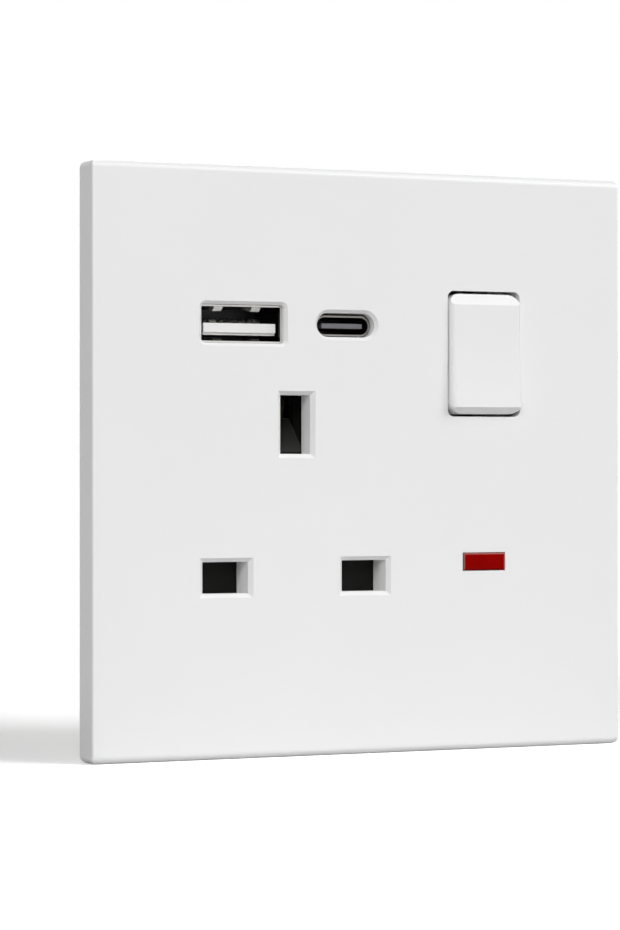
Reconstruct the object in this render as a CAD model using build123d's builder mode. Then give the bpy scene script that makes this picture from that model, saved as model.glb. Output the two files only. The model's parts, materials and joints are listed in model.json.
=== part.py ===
# Switched wall socket with two charging ports, in millimetres.
# X runs right as seen from the front, Y runs into the wall and Z runs up.
# The origin is the centre of the plate in the plane of the wall.
import os
from math import cos, pi, radians, sin

from build123d import *

# Cover plate
plate_w = 86.0
plate_h = 86.0
plate_depth = 5.0
cover_wall = 2.0
rim_wall = 2.0
outline_r = 1.0
level_edge_r = 1.2  # top and bottom front edges
side_edge_r = 0.4  # left and right front edges
hook_spread = 22.0  # hook centre from the middle of its side
hook_len = 8.0
hook_reach = 1.1
hook_t = 0.8
hook_sink = 0.2  # hook tip in front of the wall plane

# Pin slots, to the standard spacing
pin_pitch = 22.23
pin_z = -16.75
slot_w = 7.2
slot_h = 4.6
earth_w = 4.8
earth_h = 8.6
slot_chamfer = 0.6
collar_wall = 1.2

# Charging ports
port_depth = 14.5  # board behind the plate face
port_lift = 0.08  # oval hole in the plate above its port centre
shell_t = 0.25
port_a_sink = 1.15  # shell mouth behind the plate face
port_a_room = 2.2  # shell to the side wall of the base
port_a_w = 12.5
port_a_h = 5.0
port_a_r = 0.5
port_a_gap = 0.06
port_a_chamfer = 0.45
tongue_a_w = 11.4
tongue_a_t = 1.7
tongue_a_drop = 0.75  # tongue centre below the port centre
tongue_a_sink = 0.55  # tongue tip behind the shell mouth
tongue_step = 0.35  # step under the tongue tip
contact_a_w = 1.1
contact_a_t = 0.22
contact_a_inner = 1.0
contact_a_outer = 3.5
contact_a_sink = 1.7  # contacts behind the tongue tip
finger_w = 1.4
finger_rise = 0.6
finger_nose = 0.75
finger_len = 4.5
finger_spread = 3.0
finger_start = 1.25  # fingers behind the shell mouth
side_finger_h = 3.6
side_finger_rise = 0.25
side_finger_start = 0.2
port_c_sink = 1.6
port_c_x = -3.0
port_c_w = 8.34
port_c_h = 2.52
port_c_gap = 0.25
port_c_chamfer = 0.5
tongue_c_w = 6.55
tongue_c_t = 0.7
tongue_c_sink = 0.2
contact_c_w = 0.26
contact_c_t = 0.08
contact_c_pitch = 0.5
contact_c_count = 12
contact_c_sink = 1.0
insert_len = 4.5  # moulded insert at the rear of each shell
insert_gap = 0.05

# Rocker switch
rocker_z = 16.2
rocker_hole_w = 12.2
rocker_hole_h = 18.8
rocker_hole_r = 1.0
rocker_side_gap = 0.2
rocker_end_gap = 0.42
rocker_drop = 0.18
rocker_tilt = 2.5  # each way from the middle of the travel
rocker_rise = 1.1  # ends of the face above the plate at mid travel
rocker_dish = 0.2
rocker_top_bevel = 1.7
rocker_low_bevel = 0.95
rocker_side_r = 0.7
rocker_corner_r = 1.8
rocker_skirt = 0.4
rocker_face_t = 1.9
rocker_side_t = 1.5
pivot_y = -1.0
trunnion_r = 1.1
trunnion_len = 1.5
trunnion_fit = 0.05
hub_r = 2.4
cheek_gap = 0.3
cheek_t = 1.4
stem_r = 2.6
stem_len = 8.0
plunger_r = 1.5
plunger_fit = 0.1
plunger_grip = 2.2  # plunger length inside the stem
plunger_spring_wire = 0.2
plunger_spring_turns = 4
arm_t = 1.0
arm_w = 4.0
arm_reach = 7.0
arm_end = 1.6
arm_tilt = 6.0
arm_gap = 0.1
fulcrum_h = 2.0
fulcrum_r = 0.6
tip_r = 1.3
tip_t = 0.6

# Indicator
lens_z = -14.88
lens_w = 7.0
lens_h = 2.55
lens_proud = 0.2
lens_chamfer = 0.2
lens_gap = 0.1
lens_flange = 0.8
lens_flange_t = 0.7
lens_rear = 1.2
lamp_r = 1.8
lamp_len = 8.6
lamp_gap = 0.5
lamp_rest_t = 1.2
lamp_rest_inset = 0.9
lead_wire_r = 0.25
lead_len = 2.5
resistor_r = 1.2
resistor_len = 6.5
resistor_y = 8.0

# Mounting frame
frame_t = 2.1
frame_gap = 0.1  # collars and lens flange to the frame
rim_gap = 0.4
snap_gap = 0.1
window_gap = 0.3
seat_h = 0.5  # raised seat for the base
seat_w = 2.6
fix_pitch = 60.3
fix_w = 4.0
fix_len = 7.0
fix_head_w = 8.0
fix_land = 1.0

# Shutter and its deck
shutter_t = 3.0
shutter_gap = 0.15
shutter_lap = 0.6  # pads past the slot edges
shutter_travel = 5.4
shutter_stem_w = 7.0
ramp_w = 5.8
ramp_front = 1.0  # ramp nose in front of the wall plane
ramp_back = 1.1  # ramp heel behind the shutter
ramp_clear = 0.3  # ramp top below the pin when open
pin_half = 4.0  # half height of the earth pin
spring_peg_len = 1.5
deck_t = 1.6
deck_gap = 0.2
guide_t = 1.2
guide_gap = 0.3
coil_sides = 8  # straight lengths in a turn of a spring
wire_sides = 6
shutter_spring_r = 1.1
shutter_spring_wire = 0.2
shutter_spring_turns = 5

# Brass parts
sheet_t = 0.8
clip_w = 6.0
clip_grip = 3.7
clip_gap = 0.9
clip_len = 10.2
clip_flare = 0.75
clip_flare_len = 1.8
clip_bend = 0.7
earth_extra = 1.0  # earth clip past the others, for the longer pin
tail_w = 5.0
strap_w = 3.6
strap_room = 0.85  # end of the live strap to the screw tower
bar_w = 4.0
terminal_w = 8.4
terminal_h = 8.5
terminal_d = 8.5
terminal_gap = 0.3
terminal_chamfer = 0.4
wire_r = 2.3
wire_y = 3.4  # wire hole behind the terminal's front
clamp_r = 1.7
clamp_fit = 0.1
clamp_head_r = 2.9
clamp_head_t = 1.6
clamp_tip = 0.3
drive_w = 0.8
drive_d = 0.7
head_sides = 12
shank_sides = 8
can_sides = 18
can_bevel = 0.3

# Rear base
base_w = 60.0
base_h = 62.0
base_wall = 1.8
base_back = 2.0
base_r = 3.0
lug_w = 5.5
lug_h = 12.0
divider_t = 1.2
divider_x = 6.6
notch_wall = 1.2
ledge_w = 1.2
ledge_t = 1.6
post_w = 3.0
boss_r = 2.3
boss_gap = 0.2
boss_len = 8.0
tower_w = 5.8
seat_t = 4.0
case_screw_r = 1.0
case_screw_fit = 0.05
case_screw_len = 9.0
case_head_r = 1.9
case_head_t = 1.6
case_head_gap = 0.2

# Charger board
board_t = 1.6
board_gap = 0.2
board_top = 3.16  # board edge above the port centres
core_x = -18.5
core_w = 12.0
core_d = 10.5
core_leg = 2.4
coil_gap = 0.2
input_cap_x = -6.5
input_cap_r = 3.8
input_cap_len = 11.0
output_cap_x = 1.2
output_cap_r = 2.5
output_cap_len = 7.5
part_gap = 0.6  # board parts below the top edge of the board
cable_r = 0.6
cable_bend = 1.2
cable_back = 2.4
cable_hole_r = 0.9
cable_inset = 1.0  # cable centre above the board's lower edge
cable_room = 2.0  # strip of the board below the transformer

# Levels and places that follow
front_y = -plate_depth
inner_y = front_y + cover_wall
frame_y = -frame_t
collar_y = frame_y - frame_gap
frame_w = plate_w - 2 * (rim_wall + rim_gap)
frame_h = plate_h - 2 * (rim_wall + rim_gap)
hook_y = -hook_sink - hook_t
earth_z = pin_z + pin_pitch
shell_a_y = front_y + port_a_sink
shell_c_y = front_y + port_c_sink
tongue_a_y = shell_a_y + tongue_a_sink
tongue_c_y = shell_c_y + tongue_c_sink
board_y = front_y + port_depth
board_back = board_y + board_t
insert_y = board_y - insert_len
deck_y = shutter_t + 2 * shutter_gap
deck_back = deck_y + deck_t
clip_y = deck_back + clip_gap
terminal_y = clip_y + clip_len
strap_y = terminal_y - sheet_t
inner_back = terminal_y + terminal_d
base_depth = inner_back + base_back
inner_x = base_w / 2 - base_wall
inner_z = base_h / 2 - base_wall
divider_left = divider_x - divider_t / 2
divider_right = divider_x + divider_t / 2
pin_x = (divider_left - inner_x) / 2
live_x = pin_x + pin_pitch / 2
neutral_x = pin_x - pin_pitch / 2
boss_x = inner_x - tower_w / 2
boss_z = inner_z - tower_w / 2
strap_x = divider_right + deck_gap + strap_w / 2
rocker_x = boss_x - tower_w / 2 - strap_room - strap_w / 2
bay_w = terminal_w + 2 * (terminal_gap + notch_wall)
boss_low_x = (divider_right + rocker_x - bay_w / 2) / 2
port_z = boss_z - tower_w / 2 - board_gap - board_top
floor_low = earth_z + earth_h / 2 + 2 * deck_gap
floor_top = floor_low + divider_t
leaf = clip_grip / 2 + sheet_t / 2
notch_y = strap_y - deck_gap
notch_top = pin_z - leaf - sheet_t / 2 - deck_gap - notch_wall
terminal_top = notch_top - terminal_gap
terminal_low = terminal_top - terminal_h
tail_low = terminal_low + terminal_chamfer + 1.0
terminals = ((neutral_x, "neutral"), (pin_x, "earth"), (rocker_x, "live"))
bosses = ((-boss_x, boss_z), (boss_x, boss_z), (boss_low_x, -boss_z))
hook_sides = (
    (0, 1, plate_h / 2 - rim_wall),
    (0, -1, plate_h / 2 - rim_wall),
    (1, 0, plate_w / 2 - rim_wall),
    (-1, 0, plate_w / 2 - rim_wall),
)
arm_y = strap_y - fulcrum_h
lamp_y = lens_rear + lamp_gap + lamp_r
shell_a_w = port_a_w + 2 * shell_t
port_a_x = port_a_room + shell_a_w / 2 - inner_x
shell_a_h = port_a_h + 2 * shell_t
shell_c_w = port_c_w + 2 * shell_t
shell_c_h = port_c_h + 2 * shell_t
shutter_mid = shutter_gap + shutter_t / 2
pad_top = pin_z + slot_h / 2 + shutter_lap
pad_low = pin_z - slot_h / 2 - shutter_lap
spring_peg_r = shutter_spring_r - shutter_spring_wire - shutter_gap
ramp_nose = earth_z - pin_half
ramp_top = ramp_nose + shutter_travel - ramp_clear
ramp_low = earth_z - earth_h / 2 - shutter_lap
ramp_heel = shutter_gap + shutter_t + ramp_back
recess_low = ramp_low - ramp_back - shutter_travel - guide_gap
recess_top = earth_z + earth_h / 2
cheek_inner = rocker_hole_w / 2 - rocker_side_gap + cheek_gap
cheek_r = pivot_y - inner_y - frame_gap
screw_seat = boss_len + seat_t
pilot_y = screw_seat - case_screw_len - case_screw_r / 2
posts = (
    (neutral_x, pin_z + post_w / 4),
    (live_x, pin_z + post_w / 4),
    (strap_x, 0),
    (rocker_x, rocker_z),
    (rocker_x, rocker_z + arm_reach),
)
board_low = floor_top + board_gap
board_high = port_z + board_top
part_top = board_high - part_gap
core_h = part_top - board_low - cable_room
core_z = part_top - core_h / 2
core_window = (core_w - 3 * core_leg) / 2
cable_z = board_low + cable_inset
cable_y = board_back + cable_back
cables = (neutral_x + clip_w / 3, live_x + clip_w / 3)
ledges = (
    (-inner_z, -lug_h / 2 - base_wall, deck_back),
    (floor_top, board_high, board_back),
)
hole_z = port_z + port_lift
tongue_a_z = port_z - tongue_a_drop
tongue_room = port_a_h / 2 - tongue_a_drop - tongue_a_t / 2
finger_y = shell_a_y + finger_start
side_finger_y = shell_a_y + side_finger_start
rocker_w = rocker_hole_w - 2 * rocker_side_gap
rocker_h = rocker_hole_h - 2 * rocker_end_gap
rocker_head = rocker_h / 2 - rocker_drop
rocker_foot = -rocker_h / 2 - rocker_drop
rocker_edge = plate_depth + pivot_y
rocker_face = rocker_edge + rocker_rise
plunger_tip = arm_y - 2 * arm_gap - arm_t - pivot_y


def level(y):
    return Plane.XZ.offset(-y)


def tilted(y, z, angle):
    """Plane at a hinge on the rocker's centre line, facing the viewer and turned about X."""
    turn = radians(angle)
    return Plane(
        origin=(rocker_x, y, z), x_dir=(1, 0, 0), z_dir=(0, -cos(turn), -sin(turn))
    )


def prism(x, z, w, h, y0, y1, r=0.0, mode=Mode.ADD):
    """Upright block between two depths, with rounded corners if r is given."""
    with BuildSketch(level(y1)) as face:
        with Locations((x, z)):
            if r > 0:
                RectangleRounded(w, h, r)
            else:
                Rectangle(w, h)
    extrude(face.sketch, amount=y1 - y0, mode=mode)


def rod(x, z, r, y0, y1, mode=Mode.ADD, sides=0):
    """Round bar along Y, or one with flats if sides are given."""
    with BuildSketch(level(y1)) as face:
        with Locations((x, z)):
            if sides > 0:
                RegularPolygon(r, sides)
            else:
                Circle(r)
    extrude(face.sketch, amount=y1 - y0, mode=mode)


def stadium(x, z, w, h, y0, y1, mode=Mode.ADD):
    """Block with full round ends, along X."""
    with BuildSketch(level(y1)) as face:
        with Locations((x, z)):
            SlotOverall(w, h)
    extrude(face.sketch, amount=y1 - y0, mode=mode)


def pin_slots(y0, y1, extra, mode=Mode.ADD):
    """The three pin openings, or the collars round them when extra is a wall."""
    for x in (neutral_x, live_x):
        prism(x, pin_z, slot_w + 2 * extra, slot_h + 2 * extra, y0, y1, mode=mode)
    prism(pin_x, earth_z, earth_w + 2 * extra, earth_h + 2 * extra, y0, y1, mode=mode)


def hook_plane(side_x, side_z, root, along):
    """Plane across a side of the plate: local x runs into the wall, local y runs inwards."""
    origin = (side_x * root + side_z * along, 0, side_z * root + side_x * along)
    return Plane(origin=origin, x_dir=(0, 1, 0), z_dir=(-side_z, 0, side_x))


def base_outline(grow):
    """Outline of the rear base moved out by grow, with the notches that clear the box lugs."""
    with BuildSketch() as outline:
        if grow < 0:
            Rectangle(base_w + 2 * grow, base_h + 2 * grow)
        else:
            RectangleRounded(base_w + 2 * grow, base_h + 2 * grow, base_r + grow)
        for side in (-1, 1):
            with Locations((side * (base_w / 2 + grow), 0)):
                Rectangle(2 * lug_w, lug_h - 2 * grow, mode=Mode.SUBTRACT)
    return outline.sketch


def mouth(x, z):
    """Edges round the opening at (x, z) in the front face of the part being built."""
    front = faces().sort_by(Axis.Y)[0]
    return front.inner_wires().sort_by_distance((x, front_y, z))[0].edges()


def cut_corners(points, cut):
    """Path through the points with each corner cut off by one flat."""
    path = [points[0]]
    for before, corner, after in zip(points, points[1:], points[2:]):
        middle = Vector(*corner)
        path.append(middle + (Vector(*before) - middle).normalized() * cut)
        path.append(middle + (Vector(*after) - middle).normalized() * cut)
    path.append(points[-1])
    return path


def pin_clip(x):
    """Folded clip that grips a flat pin from above and below."""
    bridge = terminal_y - sheet_t / 2
    with BuildSketch(Plane.YZ.offset(x - clip_w / 2)) as section:
        with BuildLine():
            outline = (
                (clip_y, pin_z + leaf + clip_flare),
                (clip_y + clip_flare_len, pin_z + leaf),
                (bridge, pin_z + leaf),
                (bridge, pin_z - leaf),
                (clip_y + clip_flare_len, pin_z - leaf),
                (clip_y, pin_z - leaf - clip_flare),
            )
            Polyline(*cut_corners(outline, clip_bend))
        trace(line_width=sheet_t)
    extrude(section.sketch, amount=clip_w)


def terminal_block(x):
    """Drilled brass block: wire hole from below, clamp screw hole from the rear."""
    middle = (terminal_low + terminal_top) / 2
    prism(x, middle, terminal_w, terminal_h, terminal_y, inner_back)
    chamfer(edges(), length=terminal_chamfer)
    with BuildSketch(Plane.XY.offset(terminal_low)) as hole:
        with Locations((x, terminal_y + wire_y)):
            Circle(wire_r)
    extrude(hole.sketch, amount=terminal_h, mode=Mode.SUBTRACT)
    clamp_hole_r = clamp_r + clamp_fit
    rod(x, middle, clamp_hole_r, terminal_y + wire_y, inner_back, Mode.SUBTRACT, shank_sides)


def coil_spring(foot, radius, wire, length, turns):
    """Coil along the normal of the foot plane, in straight lengths so that it stays light."""
    count = turns * coil_sides
    points = []
    for index in range(count + 1):
        turn = 2 * pi * index / coil_sides
        step = (radius * cos(turn), radius * sin(turn), length * index / count)
        points.append(foot.from_local_coords(step))
    with BuildLine() as path:
        Polyline(*points)
    with BuildSketch(Plane(origin=points[0], z_dir=points[1] - points[0])) as section:
        RegularPolygon(wire, wire_sides)
    sweep(section.sketch, path=path.line, transition=Transition.RIGHT)


rocker_plane = tilted(pivot_y, rocker_z, -rocker_tilt)
rocker_side = Plane(
    origin=rocker_plane.origin, x_dir=rocker_plane.y_dir, z_dir=rocker_plane.x_dir
)
arm_plane = tilted(arm_y, rocker_z, arm_tilt)


# Cover plate: three crossed profiles give the flat face its different edge rounds.
with BuildPart() as cover_plate:
    with BuildSketch(level(0)):
        RectangleRounded(plate_w, plate_h, outline_r)
    extrude(amount=plate_depth)
    with BuildSketch(Plane.YZ):
        with Locations((front_y / 2, 0)):
            Rectangle(plate_depth, plate_h)
        fillet(vertices().sort_by(Axis.X)[:2], radius=level_edge_r)
    extrude(amount=plate_w / 2, both=True, mode=Mode.INTERSECT)
    with BuildSketch(Plane.XY):
        with Locations((0, front_y / 2)):
            Rectangle(plate_w, plate_depth)
        fillet(vertices().sort_by(Axis.Y)[:2], radius=side_edge_r)
    extrude(amount=plate_h / 2, both=True, mode=Mode.INTERSECT)
    prism(0, 0, plate_w - 2 * rim_wall, plate_h - 2 * rim_wall, inner_y, 0, mode=Mode.SUBTRACT)
    pin_slots(inner_y, collar_y, collar_wall)
    pin_slots(front_y, collar_y, 0, Mode.SUBTRACT)
    prism(
        port_a_x, port_z, shell_a_w + 2 * port_a_gap, shell_a_h + 2 * port_a_gap,
        front_y, inner_y, port_a_r + port_a_gap, Mode.SUBTRACT,
    )
    stadium(
        port_c_x, hole_z, shell_c_w + 2 * port_c_gap, shell_c_h + 2 * port_c_gap,
        front_y, inner_y, Mode.SUBTRACT,
    )
    prism(
        rocker_x, rocker_z, rocker_hole_w, rocker_hole_h,
        front_y, inner_y, rocker_hole_r, Mode.SUBTRACT,
    )
    prism(
        rocker_x, lens_z, lens_w + 2 * lens_gap, lens_h + 2 * lens_gap,
        front_y, inner_y, mode=Mode.SUBTRACT,
    )
    chamfer(
        mouth(neutral_x, pin_z) + mouth(live_x, pin_z) + mouth(pin_x, earth_z),
        length=slot_chamfer,
    )
    chamfer(mouth(port_a_x, port_z), length=port_a_chamfer)
    chamfer(mouth(port_c_x, hole_z), length=port_c_chamfer)
    for side_x, side_z, root in hook_sides:
        for along in (-hook_spread, hook_spread):
            with BuildSketch(hook_plane(side_x, side_z, root, along)):
                with BuildLine():
                    Polyline(
                        (hook_y, -rim_wall / 2),
                        (hook_y, hook_reach),
                        (hook_y + hook_t / 2, hook_reach),
                        (-hook_sink, 0),
                        (-hook_sink, -rim_wall / 2),
                        close=True,
                    )
                make_face()
            extrude(amount=hook_len / 2, both=True)

# Inner frame: carries the wall screws, the rocker bearings and the bosses for the base.
with BuildPart() as mounting_frame:
    prism(0, 0, frame_w, frame_h, frame_y, 0)
    with BuildSketch(level(seat_h)):
        add(base_outline(rim_gap))
        add(base_outline(-seat_w), mode=Mode.SUBTRACT)
    extrude(amount=seat_h)
    for x in (rocker_x - cheek_inner - cheek_t, rocker_x + cheek_inner):
        with BuildSketch(Plane.YZ.offset(x)):
            with Locations((pivot_y, rocker_z)):
                Rectangle(2 * cheek_r, 2 * cheek_r)
        extrude(amount=cheek_t)
    for x, z in bosses:
        rod(x, z, boss_r, frame_y, boss_len, sides=head_sides)
        pilot_r = case_screw_r + case_screw_fit
        rod(x, z, pilot_r, pilot_y, boss_len, Mode.SUBTRACT, shank_sides)
    pin_slots(frame_y, 0, frame_gap, Mode.SUBTRACT)
    prism(
        pin_x, (recess_low + recess_top) / 2, ramp_w + 2 * guide_gap, recess_top - recess_low,
        -ramp_front - shutter_gap, 0, mode=Mode.SUBTRACT,
    )
    prism(
        port_a_x, port_z, shell_a_w + 2 * window_gap, shell_a_h + 2 * window_gap,
        frame_y, 0, mode=Mode.SUBTRACT,
    )
    stadium(
        port_c_x, port_z, shell_c_w + 2 * window_gap, shell_c_h + 2 * window_gap,
        frame_y, 0, Mode.SUBTRACT,
    )
    prism(
        rocker_x, rocker_z, 2 * cheek_inner, rocker_hole_h + 2 * window_gap,
        inner_y, seat_h, mode=Mode.SUBTRACT,
    )
    prism(
        rocker_x, lens_z, lens_w + 2 * window_gap, lens_h + 2 * window_gap,
        frame_y, 0, mode=Mode.SUBTRACT,
    )
    with BuildSketch(Plane.YZ.offset(rocker_x - cheek_inner - cheek_t)):
        with Locations((pivot_y, rocker_z)):
            Circle(trunnion_r + trunnion_fit)
    extrude(amount=2 * (cheek_inner + cheek_t), mode=Mode.SUBTRACT)
    for side in (-1, 1):
        stadium(
            side * fix_pitch / 2, 0, fix_len, fix_w, frame_y, 0, Mode.SUBTRACT
        )
        stadium(
            side * fix_pitch / 2, 0, fix_len + fix_head_w - fix_w, fix_head_w,
            frame_y, -fix_land, Mode.SUBTRACT,
        )
    for side_x, side_z, root in hook_sides:
        for along in (-hook_spread, hook_spread):
            pocket = hook_reach + 2 * snap_gap
            with BuildSketch(hook_plane(side_x, side_z, root, along)):
                with Locations(((hook_y - snap_gap) / 2, pocket / 2)):
                    Rectangle(snap_gap - hook_y, pocket)
            extrude(amount=hook_len / 2 + snap_gap, both=True, mode=Mode.SUBTRACT)

# Rear base: open-fronted moulding with dividers, contact posts and terminal bays.
with BuildPart() as rear_base:
    with BuildSketch(level(base_depth)):
        add(base_outline(0))
    extrude(amount=base_depth - seat_h)
    with BuildSketch(level(inner_back)):
        add(base_outline(-base_wall))
    extrude(amount=inner_back - seat_h, mode=Mode.SUBTRACT)
    prism(divider_x, 0, divider_t, base_h - base_wall, seat_h, inner_back)
    prism(
        (divider_x - inner_x) / 2 - base_wall / 4, (floor_low + floor_top) / 2,
        divider_x + inner_x + base_wall / 2, divider_t, seat_h, inner_back,
    )
    for x, name in terminals:
        bay_h = notch_top + notch_wall + inner_z + base_wall / 2
        prism(
            x, notch_top + notch_wall - bay_h / 2, bay_w, bay_h,
            notch_y - notch_wall, base_depth,
        )
    for x, name in terminals:
        prism(
            x, notch_top - base_h / 2, terminal_w + 2 * terminal_gap, base_h,
            notch_y, base_depth, mode=Mode.SUBTRACT,
        )
        prism(
            x, notch_top + notch_wall / 2, tail_w + 2 * terminal_gap, 2 * notch_wall,
            notch_y, terminal_y + deck_gap, mode=Mode.SUBTRACT,
        )
    for x, z in posts:
        prism(x, z, post_w, post_w, terminal_y, base_depth)
    prism(
        divider_x, pin_z, 2 * divider_t, strap_w + 8 * deck_gap,
        strap_y - 2 * deck_gap, terminal_y + 2 * deck_gap, mode=Mode.SUBTRACT,
    )
    with BuildSketch(Plane.XY.offset(floor_low)):
        with Locations(*((x, cable_y) for x in cables)):
            RegularPolygon(cable_hole_r, wire_sides)
    extrude(amount=divider_t, mode=Mode.SUBTRACT)
    for z0, z1, y in ledges:
        prism(
            (ledge_w - base_wall) / 2 - inner_x, (z0 + z1) / 2, ledge_w + base_wall, z1 - z0,
            y, y + ledge_t,
        )
        prism(
            divider_left - ledge_w / 2 + divider_t / 4, (z0 + z1) / 2,
            ledge_w + divider_t / 2, z1 - z0, y, y + ledge_t,
        )
    for x, z in bosses:
        rod(x, z, boss_r + boss_gap, seat_h, boss_len, Mode.SUBTRACT)
        prism(x, z, tower_w, tower_w, boss_len, base_depth)
        passage_r = case_screw_r + case_head_gap
        rod(x, z, passage_r, boss_len, screw_seat, Mode.SUBTRACT, shank_sides)
        rod(x, z, case_head_r + case_head_gap, screw_seat, base_depth, Mode.SUBTRACT)
    for side in (-1, 1):
        prism(
            rocker_x + side * (lamp_len / 2 - lamp_rest_inset), lens_z,
            lamp_rest_t, 2 * (lamp_r + lamp_rest_inset), lamp_y, base_depth,
        )
    with BuildSketch(Plane.YZ.offset(rocker_x - lamp_len / 2)):
        with Locations((lamp_y, lens_z)):
            Circle(lamp_r + insert_gap)
    extrude(amount=lamp_len, mode=Mode.SUBTRACT)

# Deck under the shutter, with guide ribs for its stem.
with BuildPart() as contact_cover:
    deck_left = -inner_x + deck_gap
    deck_right = divider_left - deck_gap
    deck_low = -inner_z + deck_gap
    deck_top = floor_low - deck_gap
    prism(
        (deck_left + deck_right) / 2, (deck_low + deck_top) / 2,
        deck_right - deck_left, deck_top - deck_low, deck_y, deck_back,
    )
    prism(
        -base_w / 2, 0, 2 * (lug_w + base_wall + deck_gap), lug_h + 2 * (base_wall + deck_gap),
        deck_y, deck_back, mode=Mode.SUBTRACT,
    )
    for side in (-1, 1):
        prism(
            pin_x + side * (shutter_stem_w / 2 + guide_gap + guide_t / 2),
            (pad_top + shutter_gap + ramp_low) / 2, guide_t, ramp_low - pad_top - shutter_gap,
            shutter_gap, deck_y,
        )
    pin_slots(deck_y, deck_back, 0, Mode.SUBTRACT)
    prism(
        pin_x, (recess_low + recess_top) / 2, ramp_w + 2 * guide_gap, recess_top - recess_low,
        deck_y, deck_back, mode=Mode.SUBTRACT,
    )

# Shutter: a cross bar over the live slots and a ramp that the earth pin drives down.
with BuildPart() as shutter:
    prism(
        pin_x, pin_z, pin_pitch + slot_w + 2 * shutter_lap, slot_h + 2 * shutter_lap,
        shutter_gap, shutter_gap + shutter_t,
    )
    prism(
        pin_x, (pin_z + ramp_low) / 2, shutter_stem_w, ramp_low - pin_z,
        shutter_gap, shutter_gap + shutter_t,
    )
    with BuildSketch(Plane.YZ.offset(pin_x - ramp_w / 2)):
        with BuildLine():
            Polyline(
                (-ramp_front, ramp_nose),
                (ramp_heel, ramp_top),
                (ramp_heel, ramp_low),
                (shutter_gap + shutter_t, ramp_low - ramp_back),
                (shutter_gap, ramp_low - ramp_back),
                (-ramp_front, ramp_low),
                close=True,
            )
        make_face()
    extrude(amount=ramp_w)
    with BuildSketch(Plane.XY.offset(pad_low)):
        with Locations((pin_x, shutter_mid)):
            RegularPolygon(spring_peg_r, shank_sides)
    extrude(amount=-spring_peg_len)

with BuildPart() as shutter_spring:
    coil_spring(
        Plane(origin=(pin_x, shutter_mid, shutter_spring_wire - inner_z), z_dir=(0, 0, 1)),
        shutter_spring_r, shutter_spring_wire,
        pad_low + inner_z - 2 * shutter_spring_wire, shutter_spring_turns,
    )

# Brass contacts and their straps
with BuildPart() as earth_contact:
    bridge_z = earth_z - pin_half - sheet_t / 2 - shutter_gap
    leaf_top = earth_z + pin_half
    with BuildSketch(level(terminal_y + earth_extra)):
        with BuildLine():
            outline = (
                (pin_x - leaf - clip_flare / 2, leaf_top),
                (pin_x - leaf, leaf_top - clip_flare_len),
                (pin_x - leaf, bridge_z),
                (pin_x + leaf, bridge_z),
                (pin_x + leaf, leaf_top - clip_flare_len),
                (pin_x + leaf + clip_flare / 2, leaf_top),
            )
            Polyline(*cut_corners(outline, clip_bend))
        trace(line_width=sheet_t)
    extrude(amount=terminal_y + earth_extra - clip_y)
    prism(pin_x, (bridge_z + tail_low) / 2, tail_w, bridge_z - tail_low, strap_y, terminal_y)

with BuildPart() as neutral_contact:
    pin_clip(neutral_x)
    prism(neutral_x, (pin_z + tail_low) / 2, tail_w, pin_z - tail_low, strap_y, terminal_y)

with BuildPart() as live_contact:
    pin_clip(live_x)
    with BuildSketch(level(terminal_y)):
        with BuildLine():
            route = (
                (live_x, pin_z),
                (strap_x, pin_z),
                (strap_x, rocker_z + arm_reach),
                (rocker_x + strap_w / 2, rocker_z + arm_reach),
            )
            Polyline(*cut_corners(route, strap_w / 2))
        trace(line_width=strap_w)
    extrude(amount=sheet_t)
    rod(rocker_x, rocker_z + arm_reach, tip_r, strap_y - tip_t, strap_y, sides=head_sides)

with BuildPart() as line_bar:
    bar_top = rocker_z + bar_w
    prism(rocker_x, (tail_low + bar_top) / 2, bar_w, bar_top - tail_low, strap_y, terminal_y)
    with BuildSketch(Plane.YZ.offset(rocker_x - bar_w / 2)):
        with Locations((arm_y + fulcrum_r, rocker_z)):
            Circle(fulcrum_r)
        with Locations(((arm_y + fulcrum_r + strap_y) / 2, rocker_z)):
            Rectangle(strap_y - arm_y - fulcrum_r, 2 * fulcrum_r)
    extrude(amount=bar_w)

with BuildPart() as earth_terminal:
    terminal_block(pin_x)

with BuildPart() as neutral_terminal:
    terminal_block(neutral_x)

with BuildPart() as live_terminal:
    terminal_block(rocker_x)

with BuildPart() as terminal_screws:
    clamp_z = (terminal_low + terminal_top) / 2
    for x, name in terminals:
        clamp_end = terminal_y + wire_y + wire_r + clamp_tip
        head_back = inner_back + clamp_head_t
        rod(x, clamp_z, clamp_r, clamp_end, inner_back, sides=shank_sides)
        rod(x, clamp_z, clamp_head_r, inner_back, head_back, sides=head_sides)
        prism(
            x, clamp_z, 2 * clamp_head_r, drive_w, head_back - drive_d, head_back,
            mode=Mode.SUBTRACT,
        )

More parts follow.
